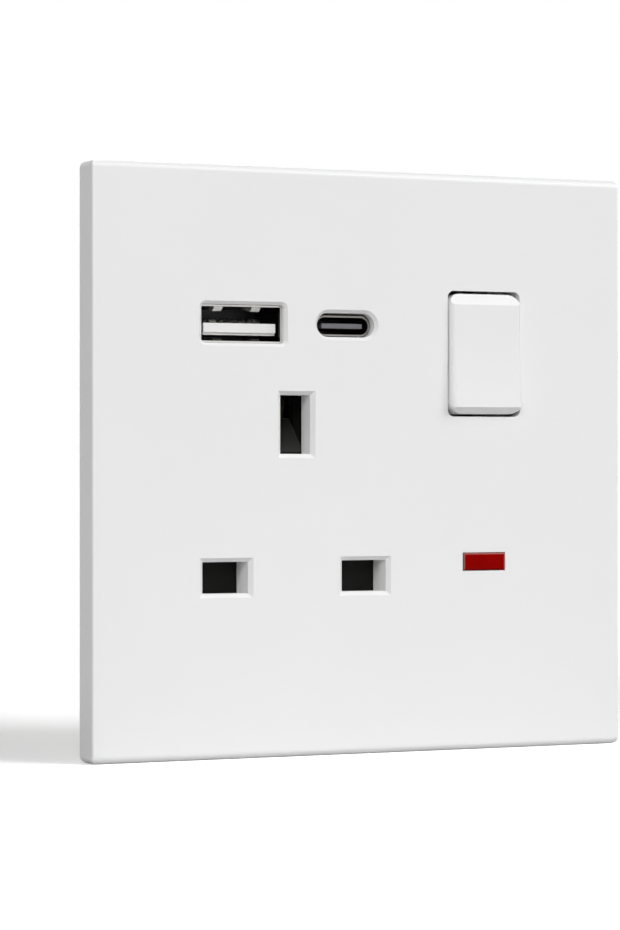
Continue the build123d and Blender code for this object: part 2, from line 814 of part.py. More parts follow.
# Rocker, built on its own turned planes: the rest pose has the upper end pressed in.
with BuildPart() as rocker:
    with BuildSketch(rocker_side):
        with BuildLine():
            Polyline(
                (rocker_head - rocker_top_bevel, rocker_face),
                (rocker_head, rocker_edge),
                (rocker_head, rocker_skirt),
                (rocker_foot, rocker_skirt),
                (rocker_foot, rocker_edge),
                (rocker_foot + rocker_low_bevel, rocker_face),
            )
            ThreePointArc(
                (rocker_foot + rocker_low_bevel, rocker_face),
                (-rocker_drop, rocker_face - rocker_dish),
                (rocker_head - rocker_top_bevel, rocker_face),
            )
        make_face()
    extrude(amount=rocker_w / 2, both=True)
    fillet(edges().filter_by(GeomType.CIRCLE), radius=rocker_side_r)
    with BuildSketch(rocker_plane.offset(rocker_skirt)):
        with Locations((0, -rocker_drop)):
            RectangleRounded(rocker_w, rocker_h, rocker_corner_r)
    extrude(amount=rocker_face + rocker_rise, mode=Mode.INTERSECT)
    with BuildSketch(rocker_plane.offset(rocker_skirt)):
        with Locations((0, -rocker_drop)):
            Rectangle(rocker_w - 2 * rocker_side_t, rocker_h - 2 * rocker_side_t)
    extrude(amount=rocker_face - rocker_dish - rocker_face_t - rocker_skirt, mode=Mode.SUBTRACT)
    with BuildSketch(rocker_side):
        Circle(hub_r)
        with Locations((0, rocker_edge / 2)):
            Rectangle(2 * hub_r, rocker_edge)
    extrude(amount=rocker_w / 2, both=True)
    with BuildSketch(rocker_side):
        Circle(trunnion_r)
    extrude(amount=rocker_w / 2 + trunnion_len, both=True)
    with BuildSketch(rocker_plane):
        Rectangle(2 * stem_r, 2 * hub_r)
    extrude(amount=-stem_len)
    with BuildSketch(rocker_plane.offset(-stem_len)):
        Circle(plunger_r + plunger_fit)
    extrude(amount=stem_len - hub_r, mode=Mode.SUBTRACT)

with BuildPart() as rocker_plunger:
    with BuildSketch(rocker_plane.offset(-plunger_tip)):
        RegularPolygon(plunger_r, head_sides)
    extrude(amount=plunger_tip + plunger_grip - stem_len)
    chamfer(faces().sort_by(Axis.Y)[-1].edges(), length=plunger_r / 2)

with BuildPart() as plunger_spring:
    coil_spring(
        rocker_plane.offset(plunger_grip - stem_len + plunger_spring_wire),
        plunger_r - plunger_spring_wire, plunger_spring_wire,
        stem_len - plunger_grip - hub_r - 2 * plunger_spring_wire, plunger_spring_turns,
    )

with BuildPart() as contact_arm:
    with BuildSketch(arm_plane.offset(arm_gap)):
        Rectangle(arm_w, 2 * (arm_reach + arm_end))
    extrude(amount=arm_t)
    with BuildSketch(arm_plane.offset(arm_gap)):
        with Locations((0, arm_reach)):
            RegularPolygon(tip_r, head_sides)
    extrude(amount=arm_gap - tip_t)

# Indicator
with BuildPart() as neon_lens:
    prism(rocker_x, lens_z, lens_w, lens_h, front_y - lens_proud, lens_rear)
    prism(
        rocker_x, lens_z, lens_w + 2 * lens_flange, lens_h + 2 * lens_flange,
        collar_y - lens_flange_t, collar_y,
    )
    chamfer(faces().sort_by(Axis.Y)[0].edges(), length=lens_chamfer)

with BuildPart() as neon_lamp:
    lamp_left = rocker_x - lamp_len / 2
    with BuildSketch(Plane.YZ.offset(lamp_left)):
        with Locations((lamp_y, lens_z)):
            RegularPolygon(lamp_r, head_sides)
    extrude(amount=lamp_len)
    chamfer(faces().sort_by(Axis.X)[-1].edges(), length=lamp_r / 2)
    with BuildSketch(Plane.YZ.offset(lamp_left)):
        with Locations((lamp_y - lamp_r / 2, lens_z), (lamp_y + lamp_r / 2, lens_z)):
            RegularPolygon(lead_wire_r, wire_sides)
    extrude(amount=-lead_len)

with BuildPart() as neon_resistor:
    resistor_x = divider_right + lens_gap + resistor_r
    with BuildSketch(Plane.XY.offset(lens_z)):
        with Locations((resistor_x, resistor_y)):
            RegularPolygon(resistor_r, head_sides)
    extrude(amount=resistor_len / 2, both=True)
    chamfer(faces().filter_by(Axis.Z).edges(), length=resistor_r / 4)
    with BuildSketch(Plane.XY.offset(lens_z)):
        with Locations((resistor_x, resistor_y)):
            RegularPolygon(lead_wire_r, wire_sides)
    extrude(amount=resistor_len / 2 + lead_len, both=True)

# Charging ports
with BuildPart() as usb_a_shell:
    prism(port_a_x, port_z, shell_a_w, shell_a_h, shell_a_y, board_y, port_a_r)
    prism(
        port_a_x, port_z, port_a_w, port_a_h, shell_a_y, board_y, mode=Mode.SUBTRACT,
    )
    for x in (port_a_x - finger_spread, port_a_x + finger_spread):
        for side, rise in ((-1, tongue_room / 2), (1, finger_rise)):
            wall_z = port_z + side * port_a_h / 2
            with BuildSketch(Plane.YZ.offset(x - finger_w / 2)):
                with BuildLine():
                    Polyline(
                        (finger_y, wall_z + side * shell_t / 2),
                        (finger_y, wall_z),
                        (finger_y + finger_nose, wall_z - side * rise),
                        (finger_y + finger_len, wall_z),
                        (finger_y + finger_len, wall_z + side * shell_t / 2),
                        close=True,
                    )
                make_face()
            extrude(amount=finger_w)
    for side in (-1, 1):
        wall_x = port_a_x + side * port_a_w / 2
        with BuildSketch(Plane.XY.offset(port_z - side_finger_h / 2)):
            with BuildLine():
                Polyline(
                    (wall_x + side * shell_t / 2, side_finger_y),
                    (wall_x, side_finger_y),
                    (wall_x - side * side_finger_rise, side_finger_y + finger_nose),
                    (wall_x, side_finger_y + finger_len),
                    (wall_x + side * shell_t / 2, side_finger_y + finger_len),
                    close=True,
                )
            make_face()
        extrude(amount=side_finger_h)

with BuildPart() as usb_a_tongue:
    prism(port_a_x, tongue_a_z, tongue_a_w, tongue_a_t, tongue_a_y, insert_y)
    prism(
        port_a_x, tongue_a_z - (tongue_a_t - tongue_step) / 2, tongue_a_w, tongue_step,
        tongue_a_y, tongue_a_y + tongue_step, mode=Mode.SUBTRACT,
    )
    prism(
        port_a_x, port_z, port_a_w - 2 * insert_gap, port_a_h - 2 * insert_gap,
        insert_y, board_y,
    )

with BuildPart() as usb_a_contacts:
    contact_z = tongue_a_z + (tongue_a_t + contact_a_t) / 2
    for offset in (-contact_a_outer, -contact_a_inner, contact_a_inner, contact_a_outer):
        prism(
            port_a_x + offset, contact_z, contact_a_w, contact_a_t,
            tongue_a_y + contact_a_sink, insert_y,
        )

with BuildPart() as usb_c_shell:
    stadium(port_c_x, port_z, shell_c_w, shell_c_h, shell_c_y, board_y)
    stadium(port_c_x, port_z, port_c_w, port_c_h, shell_c_y, board_y, Mode.SUBTRACT)

with BuildPart() as usb_c_tongue:
    prism(port_c_x, port_z, tongue_c_w, tongue_c_t, tongue_c_y, insert_y)
    stadium(
        port_c_x, port_z, port_c_w - 2 * insert_gap, port_c_h - 2 * insert_gap, insert_y, board_y
    )

with BuildPart() as usb_c_contacts:
    for side in (-1, 1):
        for index in range(contact_c_count):
            prism(
                port_c_x + (index - (contact_c_count - 1) / 2) * contact_c_pitch,
                port_z + side * (tongue_c_t + contact_c_t) / 2, contact_c_w, contact_c_t,
                tongue_c_y + contact_c_sink, insert_y,
            )

# Charger board and its parts
with BuildPart() as usb_board:
    board_left = -inner_x + board_gap
    board_right = divider_left - board_gap
    prism(
        (board_left + board_right) / 2, (board_low + board_high) / 2,
        board_right - board_left, board_high - board_low, board_y, board_back,
    )

with BuildPart() as transformer_core:
    with BuildSketch(Plane.XY.offset(core_z)):
        with Locations((core_x, board_back + core_d / 2)):
            Rectangle(core_w, core_d)
        with Locations(
            (core_x - (core_leg + core_window) / 2, board_back + core_d / 2),
            (core_x + (core_leg + core_window) / 2, board_back + core_d / 2),
        ):
            Rectangle(core_window, core_d - 2 * core_leg, mode=Mode.SUBTRACT)
    extrude(amount=core_leg, both=True)

with BuildPart() as transformer_coil:
    prism(
        core_x, core_z, core_leg + 2 * (core_window - coil_gap), core_h,
        board_back + core_leg + coil_gap, board_back + core_d - core_leg - coil_gap,
    )
    prism(
        core_x, core_z, core_leg + 2 * coil_gap, 2 * (core_leg + coil_gap),
        board_back + core_leg, board_back + core_d - core_leg, mode=Mode.SUBTRACT,
    )

with BuildPart() as input_capacitor:
    rod(
        input_cap_x, part_top - input_cap_r, input_cap_r,
        board_back, board_back + input_cap_len, sides=can_sides,
    )
    chamfer(faces().sort_by(Axis.Y)[-1].edges(), length=can_bevel)

with BuildPart() as output_capacitor:
    rod(
        output_cap_x, part_top - output_cap_r, output_cap_r,
        board_back, board_back + output_cap_len, sides=can_sides,
    )
    chamfer(faces().sort_by(Axis.Y)[-1].edges(), length=can_bevel)

with BuildPart() as board_leads:
    for x in cables:
        with BuildLine() as lead:
            route = (
                (x, board_back, cable_z),
                (x, cable_y, cable_z),
                (x, cable_y, pin_z + leaf + sheet_t / 2),
            )
            Polyline(*cut_corners(route, cable_bend))
        with BuildSketch(level(board_back)) as section:
            with Locations((x, cable_z)):
                RegularPolygon(cable_r, wire_sides)
        sweep(section.sketch, path=lead.line, transition=Transition.RIGHT)

with BuildPart() as case_screws:
    for x, z in bosses:
        head_end = screw_seat + case_head_t
        rod(x, z, case_screw_r, screw_seat - case_screw_len, screw_seat, sides=shank_sides)
        rod(x, z, case_head_r, screw_seat, head_end, sides=head_sides)
        prism(
            x, z, 2 * case_head_r, drive_w / 2, head_end - drive_d, head_end,
            mode=Mode.SUBTRACT,
        )

pieces = {
    "cover_plate": cover_plate,
    "mounting_frame": mounting_frame,
    "rear_base": rear_base,
    "contact_cover": contact_cover,
    "shutter": shutter,
    "shutter_spring": shutter_spring,
    "earth_contact": earth_contact,
    "neutral_contact": neutral_contact,
    "live_contact": live_contact,
    "line_bar": line_bar,
    "earth_terminal": earth_terminal,
    "neutral_terminal": neutral_terminal,
    "live_terminal": live_terminal,
    "terminal_screws": terminal_screws,
    "rocker": rocker,
    "rocker_plunger": rocker_plunger,
    "plunger_spring": plunger_spring,
    "contact_arm": contact_arm,
    "neon_lens": neon_lens,
    "neon_lamp": neon_lamp,
    "neon_resistor": neon_resistor,
    "usb_a_shell": usb_a_shell,
    "usb_a_tongue": usb_a_tongue,
    "usb_a_contacts": usb_a_contacts,
    "usb_c_shell": usb_c_shell,
    "usb_c_tongue": usb_c_tongue,
    "usb_c_contacts": usb_c_contacts,
    "usb_board": usb_board,
    "transformer_core": transformer_core,
    "transformer_coil": transformer_coil,
    "input_capacitor": input_capacitor,
    "output_capacitor": output_capacitor,
    "board_leads": board_leads,
    "case_screws": case_screws,
}
os.makedirs("parts", exist_ok=True)
for name, piece in pieces.items():
    piece.part.label = name
    export_step(piece.part, f"parts/{name}.step")
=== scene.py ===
import json
from math import cos, pi, radians, sin

import bmesh
import bpy
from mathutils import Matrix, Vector

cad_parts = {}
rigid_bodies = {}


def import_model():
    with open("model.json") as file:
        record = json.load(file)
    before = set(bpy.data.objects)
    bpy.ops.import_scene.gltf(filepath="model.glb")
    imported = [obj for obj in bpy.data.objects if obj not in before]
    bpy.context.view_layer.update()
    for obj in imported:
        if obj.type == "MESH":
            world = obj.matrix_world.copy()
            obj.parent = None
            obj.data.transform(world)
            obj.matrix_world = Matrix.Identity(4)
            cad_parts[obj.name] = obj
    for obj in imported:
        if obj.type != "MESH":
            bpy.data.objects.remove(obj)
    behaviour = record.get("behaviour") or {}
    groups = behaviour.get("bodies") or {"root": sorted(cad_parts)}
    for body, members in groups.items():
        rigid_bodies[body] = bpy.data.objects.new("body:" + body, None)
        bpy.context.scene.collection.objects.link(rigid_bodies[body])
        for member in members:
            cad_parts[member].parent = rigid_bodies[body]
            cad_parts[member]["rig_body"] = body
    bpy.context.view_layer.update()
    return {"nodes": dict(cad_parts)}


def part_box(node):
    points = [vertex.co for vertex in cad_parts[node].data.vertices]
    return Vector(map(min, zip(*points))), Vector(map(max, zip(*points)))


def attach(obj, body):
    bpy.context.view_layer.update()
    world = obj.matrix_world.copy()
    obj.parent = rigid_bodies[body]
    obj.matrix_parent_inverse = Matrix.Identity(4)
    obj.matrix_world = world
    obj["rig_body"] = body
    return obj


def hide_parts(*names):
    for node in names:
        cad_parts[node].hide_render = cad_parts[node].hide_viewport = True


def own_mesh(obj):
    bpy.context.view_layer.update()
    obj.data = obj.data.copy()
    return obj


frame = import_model()
nodes = frame["nodes"]
mm = 0.001  # sizes below are in millimetres
print("frame loaded:", len(nodes), "nodes")

floatSocket = "NodeSocketFloat"
colourSocket = "NodeSocketColor"
vectorSocket = "NodeSocketVector"
shapeSocket = "NodeSocketGeometry"
finishSocket = "NodeSocketMaterial"


def addNode(tree, kind, values=None, **settings):
    node = tree.nodes.new(kind)
    for name, value in settings.items():
        setattr(node, name, value)
    for name, value in (values or {}).items():
        feed(tree, node.inputs[name], value)
    return node


# A socket takes either a fixed value or the output of another node
def feed(tree, socket, value):
    if isinstance(value, bpy.types.NodeSocket):
        tree.links.new(value, socket)
    else:
        socket.default_value = value


def newGroup(name, kind, inputs, outputs):
    group = bpy.data.node_groups.new(name, kind)
    for label, socketType, value in inputs:
        socket = group.interface.new_socket(label, in_out="INPUT", socket_type=socketType)
        if value is not None:
            socket.default_value = value
    for label, socketType in outputs:
        group.interface.new_socket(label, in_out="OUTPUT", socket_type=socketType)
    return group, addNode(group, "NodeGroupInput"), addNode(group, "NodeGroupOutput")


# The Mix node has sockets of the same name for each type of value: these are the colour ones
mixSockets = {"factor": 0, "first": 6, "second": 7, "result": 2}


def mixColours(tree, blend, factor, first, second):
    node = addNode(tree, "ShaderNodeMix", data_type="RGBA", blend_type=blend)
    feed(tree, node.inputs[mixSockets["factor"]], factor)
    feed(tree, node.inputs[mixSockets["first"]], first)
    feed(tree, node.inputs[mixSockets["second"]], second)
    return node.outputs[mixSockets["result"]]


def calc(tree, operation, *terms):
    node = addNode(tree, "ShaderNodeMath", operation=operation)
    for socket, term in zip(node.inputs, terms):
        feed(tree, socket, term)
    return node.outputs[0]


# Moulded plastic: broad flow patches in the tone and gloss, fine grain in the height
def makeMouldSkin():
    group, start, end = newGroup(
        "mouldSkin",
        "ShaderNodeTree",
        [
            ("Place", vectorSocket, None),
            ("Colour", colourSocket, (0.8, 0.8, 0.8, 1.0)),
            ("Shade", floatSocket, 0.03),
            ("Flow Scale", floatSocket, 40.0),
            ("Grain Scale", floatSocket, 6000.0),
            ("Gloss", floatSocket, 0.4),
            ("Gloss Spread", floatSocket, 0.08),
        ],
        [("Colour", colourSocket), ("Roughness", floatSocket), ("Height", floatSocket)],
    )
    given = start.outputs
    flow = addNode(group, "ShaderNodeTexNoise", {
        "Vector": given["Place"], "Scale": given["Flow Scale"], "Detail": 3.0, "Roughness": 0.55,
    })
    grain = addNode(group, "ShaderNodeTexNoise", {
        "Vector": given["Place"], "Scale": given["Grain Scale"], "Detail": 2.0, "Roughness": 0.6,
    })
    tone = addNode(group, "ShaderNodeMapRange", {
        "Value": flow.outputs["Fac"], "From Min": 0.3, "From Max": 0.7,
        "To Min": calc(group, "SUBTRACT", 1.0, given["Shade"]), "To Max": 1.0,
    })
    colour = mixColours(group, "MULTIPLY", 1.0, given["Colour"], tone.outputs["Result"])
    gloss = calc(group, "MULTIPLY_ADD", flow.outputs["Fac"], given["Gloss Spread"], given["Gloss"])
    feed(group, end.inputs["Colour"], colour)
    feed(group, end.inputs["Roughness"], gloss)
    feed(group, end.inputs["Height"], grain.outputs["Fac"])
    return group


# Rolled or drawn metal: lines along one axis, and a tarnish in patches
def makeDrawnMetal():
    group, start, end = newGroup(
        "drawnMetal",
        "ShaderNodeTree",
        [
            ("Place", vectorSocket, None),
            ("Colour", colourSocket, (0.7, 0.7, 0.7, 1.0)),
            ("Tarnish", colourSocket, (0.3, 0.3, 0.3, 1.0)),
            ("Tarnish Share", floatSocket, 0.3),
            ("Stretch", vectorSocket, (4000.0, 150.0, 4000.0)),
            ("Patch Scale", floatSocket, 300.0),
            ("Gloss", floatSocket, 0.25),
            ("Gloss Spread", floatSocket, 0.2),
        ],
        [("Colour", colourSocket), ("Roughness", floatSocket), ("Height", floatSocket)],
    )
    given = start.outputs
    pull = addNode(group, "ShaderNodeMapping", {"Vector": given["Place"], "Scale": given["Stretch"]})
    lines = addNode(group, "ShaderNodeTexNoise", {
        "Vector": pull.outputs["Vector"], "Scale": 1.0, "Detail": 2.0,
    })
    patches = addNode(group, "ShaderNodeTexNoise", {
        "Vector": given["Place"], "Scale": given["Patch Scale"], "Detail": 4.0, "Roughness": 0.65,
    })
    mask = addNode(group, "ShaderNodeMapRange", {
        "Value": patches.outputs["Fac"], "From Min": 0.4, "From Max": 0.75,
        "To Min": 0.0, "To Max": given["Tarnish Share"],
    })
    colour = mixColours(group, "MIX", mask.outputs["Result"], given["Colour"], given["Tarnish"])
    gloss = calc(group, "MULTIPLY_ADD", lines.outputs["Fac"], given["Gloss Spread"], given["Gloss"])
    feed(group, end.inputs["Colour"], colour)
    feed(group, end.inputs["Roughness"], gloss)
    feed(group, end.inputs["Height"], lines.outputs["Fac"])
    return group


# Painted depth shade: what lies further in than Start turns to the dark colour by End, in place of the shade
# deep inside a hollow
def makeDepthShade():
    group, start, end = newGroup(
        "depthShade",
        "ShaderNodeTree",
        [
            ("Place", vectorSocket, None),
            ("Colour", colourSocket, (0.8, 0.8, 0.8, 1.0)),
            ("Dark", colourSocket, (0.01, 0.01, 0.01, 1.0)),
            ("Start", floatSocket, 0.0),
            ("End", floatSocket, 0.001),
        ],
        [("Colour", colourSocket)],
    )
    given = start.outputs
    split = addNode(group, "ShaderNodeSeparateXYZ", {"Vector": given["Place"]})
    ramp = addNode(group, "ShaderNodeMapRange", {
        "Value": split.outputs["Y"], "From Min": given["Start"], "From Max": given["End"],
        "To Min": 0.0, "To Max": 1.0,
    })
    colour = mixColours(group, "MIX", ramp.outputs["Result"], given["Colour"], given["Dark"])
    feed(group, end.inputs["Colour"], colour)
    return group


mouldSkin = makeMouldSkin()
drawnMetal = makeDrawnMetal()
depthShade = makeDepthShade()
print("shader groups ready")


def startMaterial(name):
    material = bpy.data.materials.new(name)
    material.use_nodes = True
    tree = material.node_tree
    tree.nodes.clear()
    shader = addNode(tree, "ShaderNodeBsdfPrincipled")
    output = addNode(tree, "ShaderNodeOutputMaterial")
    tree.links.new(shader.outputs["BSDF"], output.inputs["Surface"])
    place = addNode(tree, "ShaderNodeTexCoord")
    return material, tree, shader, place.outputs["Object"]


def useGroup(tree, group, place, values):
    return addNode(tree, "ShaderNodeGroup", {"Place": place, **values}, node_tree=group)


def addRelief(tree, shader, height, depth):
    bump = addNode(tree, "ShaderNodeBump", {"Height": height, "Distance": depth * mm})
    feed(tree, shader.inputs["Normal"], bump.outputs["Normal"])


# The surface's own colour, turned dark with depth by painted shade where the finish asks for it
def addColour(tree, shader, place, colour, finish):
    if "darkFrom" in finish:
        deep = useGroup(tree, depthShade, place, {
            "Colour": colour,
            "Dark": (*finish["dark"], 1.0),
            "Start": finish["darkFrom"] * mm,
            "End": finish["darkTo"] * mm,
        })
        colour = deep.outputs["Colour"]
    feed(tree, shader.inputs["Base Color"], colour)


def plasticMaterial(name, finish):
    material, tree, shader, place = startMaterial(name)
    skin = useGroup(tree, mouldSkin, place, {
        "Colour": (*finish["colour"], 1.0),
        "Shade": finish["shade"],
        "Flow Scale": finish["flow"],
        "Grain Scale": finish["grain"],
        "Gloss": finish["gloss"],
        "Gloss Spread": finish["spread"],
    })
    addColour(tree, shader, place, skin.outputs["Colour"], finish)
    feed(tree, shader.inputs["Roughness"], skin.outputs["Roughness"])
    if "specular" in finish:
        shader.inputs["Specular IOR Level"].default_value = finish["specular"]
    addRelief(tree, shader, skin.outputs["Height"], finish["relief"])
    return material


def metalMaterial(name, finish):
    material, tree, shader, place = startMaterial(name)
    metal = useGroup(tree, drawnMetal, place, {
        "Colour": (*finish["colour"], 1.0),
        "Tarnish": (*finish["tarnish"], 1.0),
        "Tarnish Share": finish["share"],
        "Stretch": finish["stretch"],
        "Patch Scale": finish["patches"],
        "Gloss": finish["gloss"],
        "Gloss Spread": finish["spread"],
    })
    addColour(tree, shader, place, metal.outputs["Colour"], finish)
    feed(tree, shader.inputs["Roughness"], metal.outputs["Roughness"])
    shader.inputs["Metallic"].default_value = 1.0
    addRelief(tree, shader, metal.outputs["Height"], finish["relief"])
    return material


def carryOver(material, slot, *names):
    for name in names:
        data = nodes[name].data
        data.materials.clear()
        data.materials.append(material)


# How meshes are welded, shaded and eased, in millimetres, degrees and steps
cleaning = {
    "weldCopy": 0.001,
    "weldGrown": 0.0005,
    "crispCopy": 30,
    "crispGrown": 32,
    "flatWithin": 0.5,
    "easeSteps": 3,
    "easeProfile": 0.5,
}


def softenShape(shape, crisp):
    for edge in shape.edges:
        edge.smooth = len(edge.link_faces) == 2 and edge.calc_face_angle() < radians(crisp)
    for face in shape.faces:
        face.smooth = True


# Large flat faces keep their own shading, and the rounds beside them blend into it
def evenShading(piece):
    rough = piece.data
    modifier = piece.modifiers.new("evenShading", "WEIGHTED_NORMAL")
    modifier.mode = "FACE_AREA"
    modifier.keep_sharp = True
    graph = bpy.context.evaluated_depsgraph_get()
    piece.data = bpy.data.meshes.new_from_object(piece.evaluated_get(graph))
    piece.modifiers.remove(modifier)
    bpy.data.meshes.remove(rough)


# Puts a finished mesh in the scene in place of one CAD node
def standFor(nodeName, pieceName, mesh):
    piece = bpy.data.objects.new(pieceName, mesh)
    bpy.context.scene.collection.objects.link(piece)
    evenShading(piece)
    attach(piece, nodes[nodeName]["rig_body"])
    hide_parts(nodeName)
    return piece


# A merged copy of a CAD node with smooth rounds, crisp edges and, where asked, eased corners
def cleanCopy(nodeName, pieceName, material, crisp=cleaning["crispCopy"], ease=0.0, easeOn=None):
    source = nodes[nodeName].data
    mesh = bpy.data.meshes.new(pieceName)
    mesh.from_pydata([v.co for v in source.vertices], [], [p.vertices[:] for p in source.polygons])
    shape = bmesh.new()
    shape.from_mesh(mesh)
    bmesh.ops.remove_doubles(shape, verts=shape.verts, dist=cleaning["weldCopy"] * mm)
    if easeOn is not None:
        flat = radians(cleaning["flatWithin"])
        bmesh.ops.dissolve_limit(shape, angle_limit=flat, verts=shape.verts, edges=shape.edges)
        joins = [e for e in shape.edges if len(e.link_faces) == 2 and easeOn(e)]
        bmesh.ops.bevel(
            shape, geom=[e for e in joins if e.calc_face_angle() > radians(crisp)],
            offset=ease * mm, segments=cleaning["easeSteps"], profile=cleaning["easeProfile"],
            affect="EDGES", clamp_overlap=True,
        )
    softenShape(shape, crisp)
    shape.to_mesh(mesh)
    shape.free()
    mesh.materials.append(material)
    return standFor(nodeName, pieceName, mesh)


# A second material on the faces that the test picks
def paintFaces(piece, material, test):
    piece.data.materials.append(material)
    for face in piece.data.polygons:
        if test(face.center / mm, face.normal):
            face.material_index = len(piece.data.materials) - 1


def addShape(tree, kind, **values):
    named = {name.replace("_", " "): value for name, value in values.items()}
    return addNode(tree, kind, named).outputs[0]


def raised(tree, shape, z, turn=(0.0, 0.0, 0.0)):
    step = addNode(tree, "ShaderNodeCombineXYZ", {"Z": z})
    return addNode(tree, "GeometryNodeTransform", {
        "Geometry": shape, "Translation": step.outputs[0], "Rotation": turn,
    }).outputs[0]


def combined(tree, operation, first, *others):
    node = addNode(tree, "GeometryNodeMeshBoolean", operation=operation, solver="EXACT")
    if operation == "DIFFERENCE":
        tree.links.new(first, node.inputs[0])
    else:
        others = (first, *others)
    for other in others:
        tree.links.new(other, node.inputs[1])
    return node.outputs[0]


# Sets the shape on every point, makes it real and gives it its finish
def closeTree(tree, start, end, shape, turn):
    onPoints = addNode(tree, "GeometryNodeInstanceOnPoints", {
        "Points": start.outputs["Points"], "Instance": shape, "Rotation": turn,
    })
    real = addNode(tree, "GeometryNodeRealizeInstances", {"Geometry": onPoints.outputs[0]})
    finish = addNode(tree, "GeometryNodeSetMaterial", {
        "Geometry": real.outputs[0], "Material": start.outputs["Finish"],
    })
    tree.links.new(finish.outputs[0], end.inputs["Geometry"])


screwMesh = {
    "headSides": 48,
    "shankSides": 32,
    "turnSteps": 24,
    "ridgeSides": 4,
    "rootShare": 0.1,  # how far the shank runs into the head, as a share of its height
    "tipShare": 0.4,  # radius at both ends of the point, as a share of the core
    "shoulderShare": 0.97,
    "pointLap": 1.1,  # the point's cone runs into the shank by the part over 1
}


# Screw: bevelled head with a driver slot or cross, threaded shank and blunt point
def makeScrewTree():
    tree, start, end = newGroup(
        "screwSet",
        "GeometryNodeTree",
        [
            ("Points", shapeSocket, None),
            ("Head Radius", floatSocket, 0.0029),
            ("Head Height", floatSocket, 0.0016),
            ("Head Bevel", floatSocket, 0.0003),
            ("Shank Radius", floatSocket, 0.0017),
            ("Shank Length", floatSocket, 0.0025),
            ("Point Length", floatSocket, 0.0003),
            ("Thread Pitch", floatSocket, 0.0007),
            ("Thread Height", floatSocket, 0.0002),
            ("Slot Length", floatSocket, 0.007),
            ("Cross Length", floatSocket, 0.0),
            ("Slot Width", floatSocket, 0.0008),
            ("Slot Depth", floatSocket, 0.0007),
            ("Finish", finishSocket, None),
        ],
        [("Geometry", shapeSocket)],
    )
    size = start.outputs
    headHeight = size["Head Height"]
    bevel = size["Head Bevel"]
    blank = addShape(
        tree, "GeometryNodeMeshCylinder", Vertices=screwMesh["headSides"],
        Radius=size["Head Radius"], Depth=headHeight,
    )
    blank = raised(tree, blank, calc(tree, "MULTIPLY", headHeight, 0.5))
    cone = addShape(
        tree, "GeometryNodeMeshCone", Vertices=screwMesh["headSides"],
        Radius_Bottom=calc(tree, "ADD", size["Head Radius"], headHeight),
        Radius_Top=calc(tree, "MULTIPLY_ADD", bevel, -2.0, size["Head Radius"]),
        Depth=calc(tree, "MULTIPLY_ADD", bevel, 2.0, headHeight),
    )
    cone = raised(tree, cone, calc(tree, "MULTIPLY", bevel, -1.0))
    head = combined(tree, "INTERSECT", blank, cone)
    core = calc(tree, "SUBTRACT", size["Shank Radius"], size["Thread Height"])
    straight = calc(tree, "SUBTRACT", size["Shank Length"], size["Point Length"])
    root = calc(tree, "MULTIPLY", headHeight, screwMesh["rootShare"])
    shank = addShape(
        tree, "GeometryNodeMeshCylinder", Vertices=screwMesh["shankSides"],
        Radius=core, Depth=calc(tree, "ADD", straight, root),
    )
    shank = raised(tree, shank, calc(tree, "MULTIPLY", calc(tree, "SUBTRACT", root, straight), 0.5))
    point = addShape(
        tree, "GeometryNodeMeshCone", Vertices=screwMesh["shankSides"],
        Radius_Bottom=calc(tree, "MULTIPLY", core, screwMesh["tipShare"]),
        Radius_Top=calc(tree, "MULTIPLY", core, screwMesh["shoulderShare"]),
        Depth=calc(tree, "MULTIPLY", size["Point Length"], screwMesh["pointLap"]),
    )
    point = raised(tree, point, calc(tree, "MULTIPLY", size["Shank Length"], -1.0))
    run = calc(tree, "MULTIPLY_ADD", size["Thread Height"], -2.0, straight)
    helix = addShape(
        tree, "GeometryNodeCurveSpiral", Resolution=screwMesh["turnSteps"],
        Rotations=calc(tree, "DIVIDE", run, size["Thread Pitch"]),
        Start_Radius=core, End_Radius=core, Height=run,
    )
    ridge = addShape(
        tree, "GeometryNodeCurvePrimitiveCircle",
        Resolution=screwMesh["ridgeSides"], Radius=size["Thread Height"],
    )
    thread = addShape(tree, "GeometryNodeCurveToMesh", Curve=helix, Profile_Curve=ridge, Fill_Caps=True)
    threadEnd = calc(tree, "ADD", run, size["Thread Height"])
    thread = raised(tree, thread, calc(tree, "MULTIPLY", threadEnd, -1.0))
    screw = combined(tree, "UNION", head, shank, point, thread)
    for turn, length in ((0.0, "Slot Length"), (pi / 2, "Cross Length")):
        shapeOfCut = addNode(tree, "ShaderNodeCombineXYZ", {
            "X": size[length], "Y": size["Slot Width"], "Z": calc(tree, "MULTIPLY", size["Slot Depth"], 2.0),
        })
        cut = addShape(tree, "GeometryNodeMeshCube", Size=shapeOfCut.outputs[0])
        cut = raised(tree, cut, headHeight, (0.0, 0.0, turn))
        screw = combined(tree, "DIFFERENCE", screw, cut)
    closeTree(tree, start, end, screw, (-pi / 2, 0.0, 0.0))
    return tree


springMesh = {"turnSteps": 28, "wireSides": 10}


